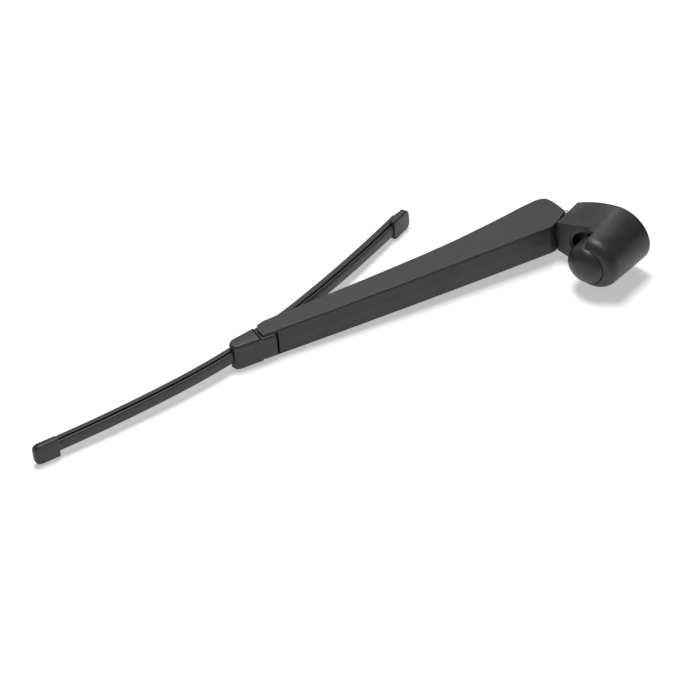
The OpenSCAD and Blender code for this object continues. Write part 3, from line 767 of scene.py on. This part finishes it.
AZIMUTH, ELEVATION, ROLL = (math.radians(v) for v in (39.936, 40.561, -5.688))
TARGET = Vector((-0.102444, -0.196437, 0.0))
DISTANCE = 2.4262
VIEW_ANGLE = math.radians(10.958)
CLIP_NEAR, CLIP_FAR = 0.05, 50

back = Vector((math.sin(AZIMUTH) * math.cos(ELEVATION), -math.cos(AZIMUTH) * math.cos(ELEVATION),
               math.sin(ELEVATION)))
right = Vector((math.cos(AZIMUTH), math.sin(AZIMUTH), 0))
up = back.cross(right)
right_r = right * math.cos(ROLL) + up * math.sin(ROLL)
up_r = up * math.cos(ROLL) - right * math.sin(ROLL)
spot = TARGET + back * DISTANCE
data = bpy.data.cameras.new("camera")
data.sensor_fit = "HORIZONTAL"
data.angle = VIEW_ANGLE
data.clip_start = CLIP_NEAR
data.clip_end = CLIP_FAR
camera = link(bpy.data.objects.new("camera", data))
camera.matrix_world = Matrix((
    (right_r.x, up_r.x, back.x, spot.x),
    (right_r.y, up_r.y, back.y, spot.y),
    (right_r.z, up_r.z, back.z, spot.z),
    (0, 0, 0, 1)))
scene.camera = camera


# Floor: a plane under the arm's lowest point, with the head, the adapter and the end caps within 1 mm of it

FLOOR_NORMAL = Vector((0.1221, -0.0258, 0.9922)).normalized()
FLOOR_MIDDLE = Vector((-0.10, -0.20, 0.0))
FLOOR_SIZE = 9.0
FLOOR_GAP = 0.0003
FLOOR_COLOURS = (0.80, 0.80, 0.80, 1), (0.82, 0.82, 0.82, 1)
MOTTLE_SCALE = 6.0
MOTTLE_SPAN = (0.3, 0.7)
# What the floor adds to its lit colour, so that it looks white, and what the world adds as light
FLOOR_GLOW = 0.46
WORLD_LIGHT = 0.12

lowest = min(FLOOR_NORMAL.dot(v.co) for o in scene.objects if o.type == "MESH" for v in o.data.vertices)
middle = FLOOR_MIDDLE + FLOOR_NORMAL * (lowest - FLOOR_GAP - FLOOR_NORMAL.dot(FLOOR_MIDDLE))
floor = plane("floor", middle, FLOOR_NORMAL, FLOOR_SIZE)
g = Graph("floor white")
diffuse = g.add("ShaderNodeBsdfDiffuse")
mottle = g.noise(g.add("ShaderNodeTexCoord").outputs["Object"], MOTTLE_SCALE)
g.join(g.mix(g.ramp(mottle, MOTTLE_SPAN), *FLOOR_COLOURS), diffuse.inputs["Color"])
glow = g.add("ShaderNodeEmission")
rays = g.add("ShaderNodeLightPath")
seen = g.maths("MAXIMUM", rays.outputs["Is Camera Ray"], rays.outputs["Is Glossy Ray"])
seen = g.maths("MAXIMUM", seen, rays.outputs["Is Transmission Ray"])
g.join(g.maths("MULTIPLY", seen, FLOOR_GLOW), glow.inputs["Strength"])
both = g.add("ShaderNodeAddShader")
g.join(diffuse.outputs[0], both.inputs[0])
g.join(glow.outputs[0], both.inputs[1])
g.join(both.outputs[0], g.out.inputs["Surface"])
floor.data.materials.append(g.mat)


# World: white where the camera sees it, and a low even light

world = bpy.data.worlds.new("world")
world.use_nodes = True
scene.world = world
tree = world.node_tree
tree.nodes.clear()
w_out = tree.nodes.new("ShaderNodeOutputWorld")
w_bg = tree.nodes.new("ShaderNodeBackground")
w_ray = tree.nodes.new("ShaderNodeLightPath")
w_max = tree.nodes.new("ShaderNodeMath")
w_max.operation = "MAXIMUM"
w_level = tree.nodes.new("ShaderNodeMapRange")
w_level.inputs["To Min"].default_value = WORLD_LIGHT
w_level.inputs["To Max"].default_value = 1.0
tree.links.new(w_ray.outputs["Is Camera Ray"], w_max.inputs[0])
tree.links.new(w_ray.outputs["Is Transmission Ray"], w_max.inputs[1])
tree.links.new(w_max.outputs[0], w_level.inputs["Value"])
tree.links.new(w_level.outputs["Result"], w_bg.inputs["Strength"])
tree.links.new(w_bg.outputs[0], w_out.inputs["Surface"])


# Lamps: round soft boxes, aimed at the middle of the object

LAMP_AIM = (-0.1, -0.2, 0.0)
LAMP_SIZE = 0.9


def lamp(name, where, watts):
    d = bpy.data.lights.new(name, "AREA")
    d.shape = "DISK"
    d.size = LAMP_SIZE
    d.energy = watts
    o = link(bpy.data.objects.new(name, d))
    o.location = where
    o.rotation_mode = "QUATERNION"
    o.rotation_quaternion = (Vector(LAMP_AIM) - Vector(where)).to_track_quat("-Z", "Y")


lamp("soft box above", (-0.30, 0.0, 2.3), 44)
lamp("sheen from behind", (-1.30, 1.25, 1.75), 7.5)

scene.view_settings.view_transform = "Standard"
